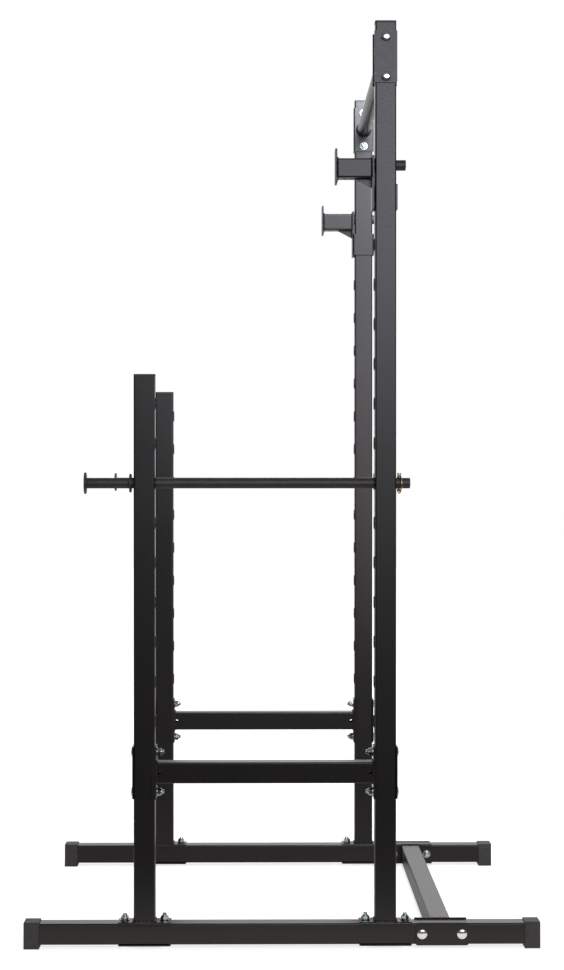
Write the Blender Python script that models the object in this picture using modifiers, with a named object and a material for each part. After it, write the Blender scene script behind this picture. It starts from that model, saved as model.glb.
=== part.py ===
"""Squat rack: two short front posts and two tall uprights of square steel tube on a pair of floor skids.

Frame: +X runs from the front (short posts, hooks and handles) to the back (tall uprights), +Y to the
left side and +Z up. The origin is on the floor, midway along the skids and midway between the sides.
Everything is in metres. Right means -Y and left means +Y.
"""
import math

import bmesh
import bpy
from mathutils import Matrix, Vector

# Stock that the frame is made from
TUBE = 0.050
TUBE_WALL = 0.002
TUBE_CORNER = 0.004
SHEET = 0.003
GAP = 0.0003

# Whole rack
SIDE_SPACING = 1.050
SKID_LENGTH = 1.210
SKID_BOTTOM = 0.010
FRONT_POST_X = -0.325
UPRIGHT_X = 0.244
CROSS_BEAM_X = 0.377
UPRIGHT_HEIGHT = 2.188
FRONT_POST_HEIGHT = 1.355
SIDE_BEAM_Z = 0.415
PULL_UP_Z = 2.103

# Adjustment holes: counted from the one that holds the safety bar
HOLE_PITCH = 0.094
SAFETY_BAR_Z = 1.098
LOWEST_HOLE = -6
FRONT_TOP_HOLE = 2
HOOK_HOLE = 8
HOLE_RADIUS = 0.0133
RIM_RADIUS = 0.015
RIM_PROUD = 0.002

# Brackets and backing plates, and the bolts that clamp them
PLATE_LENGTH = 0.124
PLATE_WIDTH = 0.054
FLANGE_REACH = 0.0065
BEND_RADIUS = 0.004
BOLT_SPACING = 0.094
BOLT_RADIUS = 0.005
BOLT_HOLE_RADIUS = 0.0059
BOLT_HEAD_RADIUS = 0.012
BOLT_HEAD_HEIGHT = 0.0045
WASHER_RADIUS = 0.011
WASHER_THICKNESS = 0.002
NUT_ACROSS_FLATS = 0.017
NUT_HEIGHT = 0.008
NUT_COLLAR_RADIUS = 0.0074
NUT_COLLAR_HEIGHT = 0.0025
BOLT_TIP = 0.0045

# Plastic ends
FOOT_LENGTH = 0.036
FOOT_WALL = 0.003
FOOT_END = 0.004
CAP_FLANGE = 0.005
CAP_PLUG = 0.012

# Pull-up bar and vent holes
PULL_UP_RADIUS = 0.019
VENT_RADIUS = 0.0033
VENT_INSET = 0.007
PULL_UP_VENT_Y = -0.020

# J-hooks: heights are measured from the pin's axis
PIN_RADIUS = 0.0125
PIN_BEHIND = 0.0235
HOOK_SHEET = 0.005
HOOK_WIDTH = 0.052
HOOK_TUBE_LENGTH = 0.0817
HOOK_TUBE_HEIGHT = 0.0455
HOOK_TUBE_DROP = 0.009
HOOK_PLATE_TOP = 0.021
HOOK_PLATE_BOTTOM = -0.1077
LIP_TOP = 0.0365
LIP_BOTTOM = -0.0445
STRAP_SHEET = 0.0042
STRAP_TOP = -0.044
STRAP_BOTTOM = -0.104
STRAP_TAB = 0.034
STRAP_BEND = 0.006
GUSSET_SHEET = 0.004
GUSSET_LENGTH = 0.042
GUSSET_DROP = 0.023
WELD_OVERLAP = 0.001

# Safety bars and the pins that lock them
BAR_RADIUS = 0.0125
BAR_BACK_END = 0.303
BAR_COLLAR_STANDOFF = 0.006
BAR_COLLAR_THICKNESS = 0.005
BAR_COLLAR_RADIUS = 0.022
BAR_HANDLE_LENGTH = 0.1017
BAR_END_THICKNESS = 0.005
BAR_END_RADIUS = 0.0255
BAR_CHAMFER = 0.001
LYNCH_X = 0.2775
LYNCH_RADIUS = 0.003
LYNCH_HOLE_RADIUS = 0.0036
LYNCH_TIP = -0.020
LYNCH_HEAD_BOTTOM = 0.013
LYNCH_HEAD_TOP = 0.0245
LYNCH_HEAD_RADIUS = 0.0047
RING_HINGE_HEIGHT = 0.0195
RING_RADIUS = 0.0215
RING_WIRE_RADIUS = 0.0015
RING_HOLE_RADIUS = 0.0029
RING_TWIST = 12

# Fineness of the round shapes
ROUND_STEPS = 16
HOLE_STEPS = 12
BOLT_STEPS = 8
BOLT_HOLE_STEPS = 8
CORNER_STEPS = 2
RING_STEPS = 20
RING_WIRE_STEPS = 6

HALF_TUBE = TUBE / 2
SKID_Z = SKID_BOTTOM + HALF_TUBE
SKID_TOP = SKID_BOTTOM + TUBE
HOOK_Z = SAFETY_BAR_Z + HOOK_HOLE * HOLE_PITCH
BOLT_GRIP = TUBE + 2 * SHEET + 4 * GAP
PLATE_SEAT = HALF_TUBE + GAP
HEAD_SEAT = PLATE_SEAT + SHEET + GAP
SIDES = (("right", -1), ("left", 1))
AXIS_X = Vector((1, 0, 0))
AXIS_Y = Vector((0, 1, 0))
AXIS_Z = Vector((0, 0, 1))


def empty_scene():
    for obj in list(bpy.data.objects):
        bpy.data.objects.remove(obj)
    for collection in list(bpy.data.collections):
        bpy.data.collections.remove(collection)


def new_collection(name):
    collection = bpy.data.collections.new(name)
    bpy.context.scene.collection.children.link(collection)
    return collection


def new_material(name, colour, roughness, metallic):
    material = bpy.data.materials.new(name)
    material.use_nodes = True
    shader = material.node_tree.nodes["Principled BSDF"]
    shader.inputs["Base Color"].default_value = (*colour, 1)
    shader.inputs["Roughness"].default_value = roughness
    shader.inputs["Metallic"].default_value = metallic
    return material


def frame_matrix(x_axis, y_axis, z_axis, origin):
    """The matrix that carries local X, Y and Z onto three directions at a point."""
    columns = [Vector(axis).to_4d() for axis in (x_axis, y_axis, z_axis)]
    for column in columns:
        column.w = 0
    return Matrix((*columns, Vector(origin).to_4d())).transposed()


def finish_mesh(mesh, turn_outwards):
    """Weld a mesh and mark its sharp edges. A solid with a hollow inside keeps its faces as they are."""
    shape = bmesh.new()
    shape.from_mesh(mesh)
    bmesh.ops.remove_doubles(shape, verts=shape.verts, dist=0.00001)
    if turn_outwards:
        bmesh.ops.recalc_face_normals(shape, faces=shape.faces)
    shape.to_mesh(mesh)
    shape.free()
    mesh.shade_smooth()
    mesh.set_sharp_from_angle(angle=math.radians(35))
    return mesh


def evaluated_mesh(obj, turn_outwards=True):
    """The object's mesh with its modifiers applied. The object itself is removed."""
    bpy.context.view_layer.update()
    depsgraph = bpy.context.evaluated_depsgraph_get()
    mesh = bpy.data.meshes.new_from_object(obj.evaluated_get(depsgraph))
    bpy.data.objects.remove(obj)
    return finish_mesh(mesh, turn_outwards)


def temporary(data):
    obj = bpy.data.objects.new("temporary", data)
    bpy.context.scene.collection.objects.link(obj)
    return obj


def combined(mesh, operation, *operands):
    """One mesh united with others, or cut by them."""
    base = temporary(mesh)
    tools = [temporary(operand) for operand in operands]
    for tool in tools:
        modifier = base.modifiers.new(operation, "BOOLEAN")
        modifier.operation = operation
        modifier.solver = "EXACT"
        modifier.object = tool
    result = evaluated_mesh(base, turn_outwards=False)
    for tool in tools:
        bpy.data.objects.remove(tool)
    return result


def moved(mesh, matrix):
    mesh.transform(matrix)
    return mesh


def block(low, high):
    """A box between two corners."""
    low, high = Vector(low), Vector(high)
    size = high - low
    shape = bmesh.new()
    bmesh.ops.create_cube(shape, size=1)
    bmesh.ops.scale(shape, vec=size, verts=shape.verts)
    bmesh.ops.translate(shape, vec=(low + high) / 2, verts=shape.verts)
    mesh = bpy.data.meshes.new("block")
    shape.to_mesh(mesh)
    shape.free()
    return mesh


def rods(centres, axis, radius, length, steps):
    """Equal round rods along one axis, as separate cylinders in one mesh."""
    turn = AXIS_Z.rotation_difference(axis).to_matrix().to_4x4()
    half_step = Matrix.Rotation(math.pi / steps, 4, "Z")
    shape = bmesh.new()
    for centre in centres:
        place = Matrix.Translation(centre) @ turn @ half_step
        bmesh.ops.create_cone(
            shape, cap_ends=True, segments=steps, radius1=radius, radius2=radius, depth=length, matrix=place
        )
    mesh = bpy.data.meshes.new("rods")
    shape.to_mesh(mesh)
    shape.free()
    return mesh


def arc(centre, radius, start, end, steps):
    """Points on an arc, with the angles in degrees."""
    angles = [math.radians(start + (end - start) * i / steps) for i in range(steps + 1)]
    return [(centre[0] + radius * math.cos(a), centre[1] + radius * math.sin(a)) for a in angles]


def circle(centre, radius, steps):
    return arc(centre, radius, 0, 360, steps)[:-1]


def rounded_rectangle(width, height, radius):
    x = width / 2 - radius
    y = height / 2 - radius
    corners = ((x, y, 0), (-x, y, 90), (-x, -y, 180), (x, -y, 270))
    points = []
    for corner_x, corner_y, angle in corners:
        points += arc((corner_x, corner_y), radius, angle, angle + 90, CORNER_STEPS)
    return points


def extrusion(outlines, thickness):
    """A flat outline with its holes, given a thickness along Z about its middle."""
    curve = bpy.data.curves.new("outline", "CURVE")
    curve.dimensions = "2D"
    curve.fill_mode = "BOTH"
    curve.extrude = thickness / 2
    for points in outlines:
        spline = curve.splines.new("POLY")
        spline.points.add(len(points) - 1)
        for point, (x, y) in zip(spline.points, points):
            point.co = (x, y, 0, 1)
        spline.use_cyclic_u = True
    return evaluated_mesh(temporary(curve))


def turned(profile, steps):
    """A solid of revolution about Z. The profile runs from the top to the bottom, as (radius, height)."""
    mesh = bpy.data.meshes.new("profile")
    vertices = [(radius, 0, height) for radius, height in profile]
    edges = [(i, i + 1) for i in range(len(profile) - 1)]
    mesh.from_pydata(vertices, edges, [])
    obj = temporary(mesh)
    screw = obj.modifiers.new("turn", "SCREW")
    screw.steps = steps
    screw.render_steps = steps
    screw.use_merge_vertices = True
    screw.merge_threshold = 0.00001
    return evaluated_mesh(obj)


def square_tube(length, width=TUBE, height=TUBE):
    """Rolled square tube along Z, open at both ends."""
    outer = rounded_rectangle(width, height, TUBE_CORNER)
    inner = rounded_rectangle(width - 2 * TUBE_WALL, height - 2 * TUBE_WALL, TUBE_CORNER - TUBE_WALL)
    return extrusion([outer, inner], length)


def channel(seat, along, out):
    """The folded bracket that every joint uses: a plate whose two flanges wrap the tube it is bolted to.

    seat is the middle of the tube's face, along the bracket's length and out the face's normal.
    """
    inside = HALF_TUBE + GAP
    outside = inside + SHEET
    bend = outside - BEND_RADIUS
    bend_height = SHEET - BEND_RADIUS
    outline = [(-inside, 0), (-inside, -FLANGE_REACH), (-outside, -FLANGE_REACH)]
    outline += arc((-bend, bend_height), BEND_RADIUS, 180, 90, CORNER_STEPS)
    outline += arc((bend, bend_height), BEND_RADIUS, 90, 0, CORNER_STEPS)
    outline += [(outside, -FLANGE_REACH), (inside, -FLANGE_REACH), (inside, 0)]
    across = Vector(out).cross(Vector(along))
    origin = Vector(seat) + GAP * Vector(out)
    return moved(extrusion([outline], PLATE_LENGTH), frame_matrix(across, out, along, origin))


def bolt_holes(seat, along, axis, length):
    """Cutters for the pair of bolt holes of one bracket or plate."""
    centres = [Vector(seat) + side * BOLT_SPACING / 2 * Vector(along) for side in (-1, 1)]
    return rods(centres, axis, BOLT_HOLE_RADIUS, length, BOLT_HOLE_STEPS)


def backing_plate(holes):
    """The plate under each pair of bolt heads, flat on XY with its length along Y."""
    edge = rounded_rectangle(PLATE_WIDTH, PLATE_LENGTH, TUBE_CORNER)
    return moved(extrusion([edge, *holes], SHEET), Matrix.Translation((0, 0, SHEET / 2)))


def clamping_bolt(grip):
    """A round-headed bolt with its washer and collared lock nut, along Z. The head's underside is at zero."""
    washer_foot = grip
    washer_top = washer_foot + WASHER_THICKNESS
    nut_top = washer_top + NUT_HEIGHT
    collar_top = nut_top + NUT_COLLAR_HEIGHT
    tip = collar_top + BOLT_TIP
    profile = [
        (0, tip),
        (BOLT_RADIUS, tip),
        (BOLT_RADIUS, collar_top),
        (NUT_COLLAR_RADIUS, collar_top),
        (NUT_COLLAR_RADIUS, washer_top),
        (WASHER_RADIUS, washer_top),
        (WASHER_RADIUS, washer_foot),
        (BOLT_RADIUS, washer_foot),
        (BOLT_RADIUS, 0),
        (BOLT_HEAD_RADIUS, 0),
        (BOLT_HEAD_RADIUS, -0.25 * BOLT_HEAD_HEIGHT),
        (0.6 * BOLT_HEAD_RADIUS, -0.85 * BOLT_HEAD_HEIGHT),
        (0, -BOLT_HEAD_HEIGHT),
    ]
    sink = WASHER_THICKNESS / 4
    nut_radius = NUT_ACROSS_FLATS / 2 / math.cos(math.radians(30))
    nut_middle = (washer_top - sink + nut_top) / 2
    nut = rods([(0, 0, nut_middle)], AXIS_Z, nut_radius, NUT_HEIGHT + sink, 6)
    return combined(turned(profile, BOLT_STEPS), "UNION", nut)


def skid():
    """A floor skid along X about its own middle, with its bolt holes."""
    tube = moved(square_tube(SKID_LENGTH), Matrix.Rotation(math.pi / 2, 4, "Y"))
    upright_holes = [
        bolt_holes((x, 0, 0), AXIS_X, AXIS_Z, 2 * TUBE) for x in (FRONT_POST_X, UPRIGHT_X)
    ]
    beam_holes = bolt_holes((CROSS_BEAM_X, 0, 0), AXIS_X, AXIS_Y, 2 * TUBE)
    return combined(tube, "DIFFERENCE", *upright_holes, beam_holes)


def foot():
    """The plastic foot over the skid's +X end. Its origin is on the floor below the tube's end."""
    width = TUBE + 2 * GAP + 2 * FOOT_WALL
    shell = block((FOOT_END - FOOT_LENGTH, -width / 2, 0), (FOOT_END, width / 2, SKID_TOP + GAP + FOOT_WALL))
    inside = HALF_TUBE + GAP
    pocket = block((-2 * FOOT_LENGTH, -inside, SKID_BOTTOM - GAP), (GAP, inside, SKID_TOP + GAP))
    obj = temporary(shell)
    bevel = obj.modifiers.new("edges", "BEVEL")
    bevel.width = 0.002
    bevel.segments = 1
    return combined(evaluated_mesh(obj), "DIFFERENCE", pocket)


def post_cap():
    """The plastic plug in a post's top. Its origin is at the tube's top."""
    flange = extrusion([rounded_rectangle(TUBE, TUBE, TUBE_CORNER)], CAP_FLANGE - GAP)
    plug_width = TUBE - 2 * TUBE_WALL - 2 * GAP
    plug = extrusion([rounded_rectangle(plug_width, plug_width, TUBE_CORNER - TUBE_WALL)], CAP_PLUG + 2 * GAP)
    moved(flange, Matrix.Translation((0, 0, (CAP_FLANGE + GAP) / 2)))
    moved(plug, Matrix.Translation((0, 0, (2 * GAP - CAP_PLUG) / 2)))
    return combined(flange, "UNION", plug)


def post(height, top_hole, rim_side, pull_up):
    """An upright with its welded base bracket and sleeved holes. Its origin is on the floor below it.

    rim_side is the side along X on which the sleeves stand proud.
    """
    tube_foot = SKID_TOP + GAP + SHEET / 2
    tube_top = height - CAP_FLANGE
    middle = (tube_foot + tube_top) / 2
    tube = moved(square_tube(tube_top - tube_foot), Matrix.Translation((0, 0, middle)))
    heights = [SAFETY_BAR_Z + i * HOLE_PITCH for i in range(LOWEST_HOLE, top_hole + 1)]
    sleeve_length = TUBE + RIM_PROUD - TUBE_WALL / 2
    sleeve_x = rim_side * (HALF_TUBE + RIM_PROUD - sleeve_length / 2)
    sleeves = rods([(sleeve_x, 0, z) for z in heights], AXIS_X, RIM_RADIUS, sleeve_length, HOLE_STEPS)
    bores = rods([(0, 0, z) for z in heights], AXIS_X, HOLE_RADIUS, 2 * TUBE, HOLE_STEPS)
    base = channel((0, 0, SKID_TOP), AXIS_X, AXIS_Z)
    cutters = [
        bores,
        bolt_holes((0, 0, SKID_TOP), AXIS_X, AXIS_Z, TUBE / 2),
        bolt_holes((0, 0, SIDE_BEAM_Z), AXIS_Z, AXIS_X, 2 * TUBE),
    ]
    if pull_up:
        cutters.append(bolt_holes((0, 0, PULL_UP_Z), AXIS_Z, AXIS_Y, 2 * TUBE))
    return combined(combined(tube, "UNION", sleeves, base), "DIFFERENCE", *cutters)


def beam(tube, half_span, along, across, vents):
    """A beam between two faces: a tube along one axis with a folded bracket welded on each end.

    The tube is cut by small vent holes at some places along it, so that its hollow isn't sealed.
    """
    ends = []
    holes = []
    for side in (-1, 1):
        seat = side * half_span * along
        ends.append(channel(seat, across, -side * along))
        holes.append(bolt_holes(seat, across, along, TUBE))
    vent_axis = along.cross(across)
    vent_cutter = rods([place * along for place in vents], vent_axis, VENT_RADIUS, 2 * TUBE, BOLT_HOLE_STEPS)
    return combined(combined(tube, "UNION", *ends), "DIFFERENCE", *holes, vent_cutter)


def end_vents(half_span):
    """The places of the vent holes beside a beam's two brackets."""
    place = half_span - GAP - SHEET - VENT_INSET
    return (-place, place)


def side_beam():
    half_span = (UPRIGHT_X - FRONT_POST_X - TUBE) / 2
    length = 2 * (half_span - GAP) - SHEET
    tube = moved(square_tube(length), Matrix.Rotation(math.pi / 2, 4, "Y"))
    return beam(tube, half_span, AXIS_X, AXIS_Z, end_vents(half_span))


def cross_beam():
    half_span = (SIDE_SPACING - TUBE) / 2
    length = 2 * (half_span - GAP) - SHEET
    tube = moved(square_tube(length), Matrix.Rotation(math.pi / 2, 4, "X"))
    return beam(tube, half_span, AXIS_Y, AXIS_X, end_vents(half_span))


def pull_up_bar():
    half_span = (SIDE_SPACING - TUBE) / 2
    length = 2 * (half_span - GAP) - SHEET
    rings = [circle((0, 0), radius, ROUND_STEPS) for radius in (PULL_UP_RADIUS, PULL_UP_RADIUS - TUBE_WALL)]
    tube = moved(extrusion(rings, length), Matrix.Rotation(math.pi / 2, 4, "X"))
    return beam(tube, half_span, AXIS_Y, AXIS_Z, [PULL_UP_VENT_Y])


def hook_gusset(plate_front, tube_bottom):
    """The triangle of plate in the corner under the hook's tube."""
    tip = plate_front - GUSSET_LENGTH
    buried = tube_bottom + WELD_OVERLAP
    foot = tube_bottom - GUSSET_DROP
    outline = [
        (plate_front + WELD_OVERLAP, buried),
        (tip, buried),
        (tip, tube_bottom),
        (plate_front, foot),
        (plate_front + WELD_OVERLAP, foot),
    ]
    return moved(extrusion([outline], GUSSET_SHEET), Matrix.Rotation(math.pi / 2, 4, "X"))


def hook_strap(plate_front, inward):
    """The folded strap from the hook's plate, along one side of the upright and round behind it."""
    side_inner = HALF_TUBE + 2 * GAP
    side_outer = side_inner + STRAP_SHEET
    front = plate_front + (HOOK_SHEET - STRAP_SHEET) / 2
    back = TUBE + GAP + STRAP_SHEET
    tab_end = side_outer - STRAP_TAB
    corner = side_outer - STRAP_BEND
    outline = [(front, 0)]
    outline += arc((front + STRAP_BEND, corner), STRAP_BEND, 180, 90, CORNER_STEPS)
    outline += arc((back - STRAP_BEND, corner), STRAP_BEND, 90, 0, CORNER_STEPS)
    outline += [
        (back, tab_end),
        (back - STRAP_SHEET, tab_end),
        (back - STRAP_SHEET, side_inner),
        (front + STRAP_SHEET, side_inner),
        (front + STRAP_SHEET, 0),
    ]
    outline = [(x, inward * y) for x, y in outline]
    middle = (STRAP_TOP + STRAP_BOTTOM) / 2
    return moved(extrusion([outline], STRAP_TOP - STRAP_BOTTOM), Matrix.Translation((0, 0, middle)))


def j_hook(inward):
    """A J-hook about its pin's axis, with X zero at the upright's front face.

    inward is the side along Y, towards the middle of the rack, on which the strap wraps the upright.
    """
    plate_back = -(RIM_PROUD + GAP)
    plate_front = plate_back - HOOK_SHEET
    lip_back = plate_front - HOOK_TUBE_LENGTH
    lip_front = lip_back - HOOK_SHEET
    half = HOOK_WIDTH / 2
    plate = block((plate_front, -half, HOOK_PLATE_BOTTOM), (plate_back, half, HOOK_PLATE_TOP))
    lip = block((lip_front, -half, LIP_BOTTOM), (lip_back, half, LIP_TOP))

    tube_bottom = -HOOK_TUBE_DROP - HOOK_TUBE_HEIGHT / 2
    tube_place = Matrix.Translation(((plate_front + lip_back) / 2, 0, -HOOK_TUBE_DROP))
    tube_turn = Matrix.Rotation(math.pi / 2, 4, "Y")
    tube = square_tube(HOOK_TUBE_LENGTH + 2 * WELD_OVERLAP, HOOK_TUBE_HEIGHT, TUBE)
    moved(tube, tube_place @ tube_turn)

    pin_front = plate_back - HOOK_SHEET / 2
    pin_back = TUBE + PIN_BEHIND
    pin_centre = ((pin_front + pin_back) / 2, 0, 0)
    pin = rods([pin_centre], AXIS_X, PIN_RADIUS, pin_back - pin_front, ROUND_STEPS)
    gusset = hook_gusset(plate_front, tube_bottom)
    body = combined(plate, "UNION", hook_strap(plate_front, inward), tube, lip, gusset, pin)
    vent_centre = (lip_back + 4 * VENT_RADIUS, 0, tube_bottom)
    vent = rods([vent_centre], AXIS_Z, VENT_RADIUS, 4 * TUBE_WALL, BOLT_HOLE_STEPS)
    return combined(body, "DIFFERENCE", vent)


def safety_bar():
    """A safety bar along X on its own axis, with its end disc, its stop collar and the lynch pin's hole."""
    collar_back = FRONT_POST_X - HALF_TUBE - BAR_COLLAR_STANDOFF
    collar_front = collar_back - BAR_COLLAR_THICKNESS
    disc_back = collar_front - BAR_HANDLE_LENGTH
    disc_front = disc_back - BAR_END_THICKNESS
    profile = [
        (0, BAR_BACK_END),
        (BAR_RADIUS - BAR_CHAMFER, BAR_BACK_END),
        (BAR_RADIUS, BAR_BACK_END - BAR_CHAMFER),
        (BAR_RADIUS, collar_back),
        (BAR_COLLAR_RADIUS, collar_back),
        (BAR_COLLAR_RADIUS, collar_front),
        (BAR_RADIUS, collar_front),
        (BAR_RADIUS, disc_back),
        (BAR_END_RADIUS, disc_back),
        (BAR_END_RADIUS, disc_front),
        (0, disc_front),
    ]
    body = moved(turned(profile, ROUND_STEPS), Matrix.Rotation(math.pi / 2, 4, "Y"))
    hole = rods([(LYNCH_X, 0, 0)], AXIS_Z, LYNCH_HOLE_RADIUS, 4 * BAR_RADIUS, BOLT_STEPS)
    return combined(body, "DIFFERENCE", hole)


def lynch_pin():
    """The locking pin down through a safety bar. Its origin is on the bar's axis."""
    profile = [
        (0, LYNCH_HEAD_TOP),
        (LYNCH_HEAD_RADIUS - BAR_CHAMFER, LYNCH_HEAD_TOP),
        (LYNCH_HEAD_RADIUS, LYNCH_HEAD_TOP - BAR_CHAMFER),
        (LYNCH_HEAD_RADIUS, LYNCH_HEAD_BOTTOM),
        (LYNCH_RADIUS, LYNCH_HEAD_BOTTOM),
        (LYNCH_RADIUS, LYNCH_TIP + BAR_CHAMFER),
        (LYNCH_RADIUS - BAR_CHAMFER, LYNCH_TIP),
        (0, LYNCH_TIP),
    ]
    hole_centre = (0, 0, RING_HINGE_HEIGHT)
    hole = rods([hole_centre], AXIS_Y, RING_HOLE_RADIUS, 4 * LYNCH_HEAD_RADIUS, HOLE_STEPS)
    return combined(turned(profile, BOLT_STEPS), "DIFFERENCE", hole)


def lynch_ring():
    """The spring ring that closes a lynch pin round its bar. Its origin is where it turns in the head."""
    shape = bpy.data.curves.new("ring", "CURVE")
    shape.dimensions = "3D"
    shape.bevel_depth = RING_WIRE_RADIUS
    shape.bevel_resolution = (RING_WIRE_STEPS - 4) // 2
    spline = shape.splines.new("POLY")
    points = circle((0, -RING_RADIUS), RING_RADIUS, RING_STEPS)
    spline.points.add(len(points) - 1)
    for point, (y, z) in zip(spline.points, points):
        point.co = (0, y, z, 1)
    spline.use_cyclic_u = True
    return evaluated_mesh(temporary(shape))


class Rack:
    """Places the named pieces in one collection, each with its material and its parent."""

    def __init__(self):
        self.parts = new_collection("squat_rack")
        self.base = bpy.data.objects.new("rack", None)
        self.parts.objects.link(self.base)
        self.powder = new_material("black powder coat", (0.022, 0.021, 0.022), 0.42, 0.0)
        self.plastic = new_material("black plastic", (0.035, 0.034, 0.035), 0.55, 0.0)
        self.zinc = new_material("bright zinc", (0.78, 0.79, 0.82), 0.22, 1.0)
        self.gold = new_material("yellow zinc", (0.80, 0.52, 0.26), 0.25, 1.0)

    def add(self, name, mesh, matrix, material, parent=None):
        if not mesh.materials:
            mesh.materials.append(material)
            mesh.name = name
        obj = bpy.data.objects.new(name, mesh)
        self.parts.objects.link(obj)
        obj.parent = parent or self.base
        obj.matrix_world = matrix
        bpy.context.view_layer.update()
        return obj


def add_skids(rack):
    skid_mesh = skid()
    foot_mesh = foot()
    for side, sign in SIDES:
        y = sign * SIDE_SPACING / 2
        rack.add(f"base_skid_{side}", skid_mesh, Matrix.Translation((0, y, SKID_Z)), rack.powder)
        for end, end_sign in (("front", -1), ("rear", 1)):
            turn = Matrix.Rotation(0 if end_sign > 0 else math.pi, 4, "Z")
            place = Matrix.Translation((end_sign * SKID_LENGTH / 2, y, 0)) @ turn
            rack.add(f"foot_cap_{end}_{side}", foot_mesh, place, rack.plastic)


def add_posts(rack):
    tall = post(UPRIGHT_HEIGHT, HOOK_HOLE, -1, True)
    short = post(FRONT_POST_HEIGHT, FRONT_TOP_HOLE, 1, False)
    cap = post_cap()
    kinds = (
        ("tall_upright", tall, UPRIGHT_X, UPRIGHT_HEIGHT),
        ("front_post", short, FRONT_POST_X, FRONT_POST_HEIGHT),
    )
    for name, mesh, x, height in kinds:
        for side, sign in SIDES:
            y = sign * SIDE_SPACING / 2
            rack.add(f"{name}_{side}", mesh, Matrix.Translation((x, y, 0)), rack.powder)
            cap_place = Matrix.Translation((x, y, height - CAP_FLANGE))
            rack.add(f"{name}_cap_{side}", cap, cap_place, rack.plastic)


def add_beams(rack):
    side_mesh = side_beam()
    middle_x = (FRONT_POST_X + UPRIGHT_X) / 2
    for side, sign in SIDES:
        place = Matrix.Translation((middle_x, sign * SIDE_SPACING / 2, SIDE_BEAM_Z))
        rack.add(f"side_beam_{side}", side_mesh, place, rack.powder)
    rack.add("rear_cross_beam", cross_beam(), Matrix.Translation((CROSS_BEAM_X, 0, SKID_Z)), rack.powder)
    rack.add("pull_up_bar", pull_up_bar(), Matrix.Translation((UPRIGHT_X, 0, PULL_UP_Z)), rack.powder)


def bolted_joints():
    """The joints whose plate and bolts are loose pieces: name, middle of the clamped tube, length, direction."""
    for side, sign in SIDES:
        y = sign * SIDE_SPACING / 2
        inward = -sign * AXIS_Y
        yield f"side_beam_front_{side}", (FRONT_POST_X, y, SIDE_BEAM_Z), AXIS_Z, AXIS_X
        yield f"side_beam_rear_{side}", (UPRIGHT_X, y, SIDE_BEAM_Z), AXIS_Z, -AXIS_X
        yield f"cross_beam_{side}", (CROSS_BEAM_X, y, SKID_Z), AXIS_X, inward
        yield f"pull_up_{side}", (UPRIGHT_X, y, PULL_UP_Z), AXIS_Z, inward


def add_fasteners(rack):
    holes = [circle((0, step * BOLT_SPACING / 2), BOLT_HOLE_RADIUS, BOLT_HOLE_STEPS) for step in (-1, 1)]
    plate_mesh = backing_plate(holes)
    bolt_mesh = clamping_bolt(BOLT_GRIP)
    for name, centre, along, direction in bolted_joints():
        across = along.cross(direction)
        ends = ("lower", "upper") if along == AXIS_Z else ("front", "rear")
        plate_seat = Vector(centre) - PLATE_SEAT * direction
        rack.add(f"{name}_plate", plate_mesh, frame_matrix(-across, along, -direction, plate_seat), rack.powder)
        for end, step in zip(ends, (-1, 1)):
            seat = Vector(centre) + step * BOLT_SPACING / 2 * along - HEAD_SEAT * direction
            rack.add(f"{name}_bolt_{end}", bolt_mesh, frame_matrix(across, along, direction, seat), rack.zinc)


def add_bolt_plates(rack):
    """The plates under the skids. Each one is a single piece with its two bolts, washers and nuts."""
    plate = moved(backing_plate([]), Matrix.Rotation(math.pi / 2, 4, "Z") @ Matrix.Rotation(math.pi, 4, "X"))
    bolts = []
    for step in (-1, 1):
        seat = (step * BOLT_SPACING / 2, 0, GAP - SHEET)
        bolts.append(moved(clamping_bolt(BOLT_GRIP - 2 * GAP), Matrix.Translation(seat)))
    mesh = combined(plate, "UNION", *bolts)
    for name, x in (("front_post", FRONT_POST_X), ("tall_upright", UPRIGHT_X)):
        for side, sign in SIDES:
            place = Matrix.Translation((x, sign * SIDE_SPACING / 2, SKID_Z - PLATE_SEAT))
            rack.add(f"{name}_bolt_plate_{side}", mesh, place, rack.zinc)


def add_hooks_and_bars(rack):
    bar_mesh = safety_bar()
    pin_mesh = lynch_pin()
    ring_mesh = lynch_ring()
    for side, sign in SIDES:
        y = sign * SIDE_SPACING / 2
        hook_place = Matrix.Translation((UPRIGHT_X - HALF_TUBE, y, HOOK_Z))
        rack.add(f"j_hook_{side}", j_hook(-sign), hook_place, rack.powder)
        bar = rack.add(f"safety_bar_{side}", bar_mesh, Matrix.Translation((0, y, SAFETY_BAR_Z)), rack.powder)
        pin_place = Matrix.Translation((LYNCH_X, y, SAFETY_BAR_Z))
        pin = rack.add(f"lynch_pin_{side}", pin_mesh, pin_place, rack.gold, bar)
        ring_centre = Matrix.Translation((LYNCH_X, y, SAFETY_BAR_Z + RING_HINGE_HEIGHT))
        ring_place = ring_centre @ Matrix.Rotation(math.radians(RING_TWIST), 4, "Z")
        rack.add(f"lynch_ring_{side}", ring_mesh, ring_place, rack.gold, pin)


def main():
    empty_scene()
    rack = Rack()
    add_skids(rack)
    add_posts(rack)
    add_beams(rack)
    add_fasteners(rack)
    add_bolt_plates(rack)
    add_hooks_and_bars(rack)


main()
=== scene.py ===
"""The looks of the squat rack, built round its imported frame.

+X runs from the front posts to the tall uprights, +Y to the left side and +Z up, in metres.
Each piece is made in place, so its object stays at the origin.
"""
import math

import bmesh
import bpy
from mathutils import Matrix, Vector


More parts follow.
